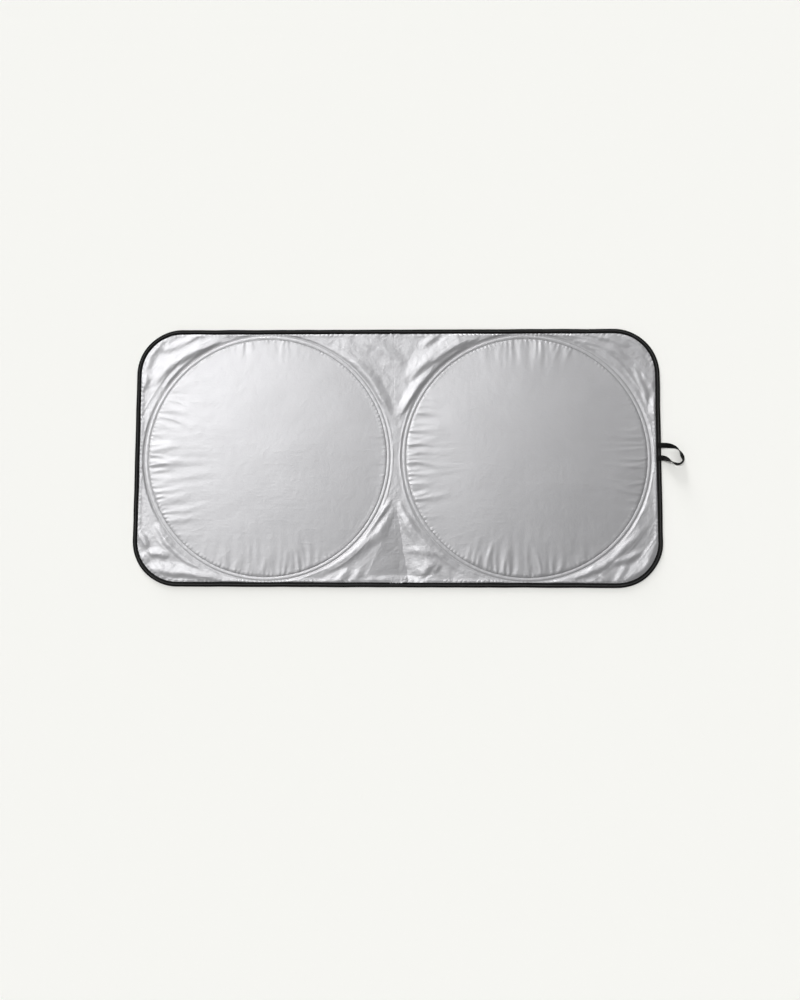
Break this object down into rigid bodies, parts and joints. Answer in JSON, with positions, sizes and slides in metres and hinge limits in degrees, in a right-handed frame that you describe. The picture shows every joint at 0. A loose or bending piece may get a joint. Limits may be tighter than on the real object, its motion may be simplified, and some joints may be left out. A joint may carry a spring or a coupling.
{
  "type": "windscreen sunshade",
  "caption": "Twist-fold car windscreen sunshade: a silver-coated cloth held out by spring-wire hoops, with a black bound edge and a webbing loop at one end.",
  "frame": {"origin": "middle of the panel, on the plane its back lies on, where the cloth between the hoops touches that plane", "axes": "+X along the panel to the end with the webbing loop, +Y to the edge that goes to the top of the windscreen, +Z out of the silver face"},
  "size_m": [1.5659, 0.74, 0.0151],
  "materials": {
    "silver_cloth": "thin woven polyester with a silver coating on the face and an uncoated grey back",
    "binding_tape": "black woven polyester tape, matt",
    "webbing": "black ribbed polyester webbing",
    "casing_tape": "grey woven polyester tape, matt",
    "spring_wire": "drawn spring-steel wire",
    "crimp_sleeve": "plain steel tube, crimped"
  },
  "bodies": {
    "root": {"face_panel": "silver_cloth", "edge_binding": "binding_tape", "carry_loop": "webbing", "left_casing_tape": "casing_tape", "right_casing_tape": "casing_tape", "left_hoop_wire": "spring_wire", "right_hoop_wire": "spring_wire", "left_hoop_sleeve": "crimp_sleeve", "right_hoop_sleeve": "crimp_sleeve"}
  },
  "joints": []
}
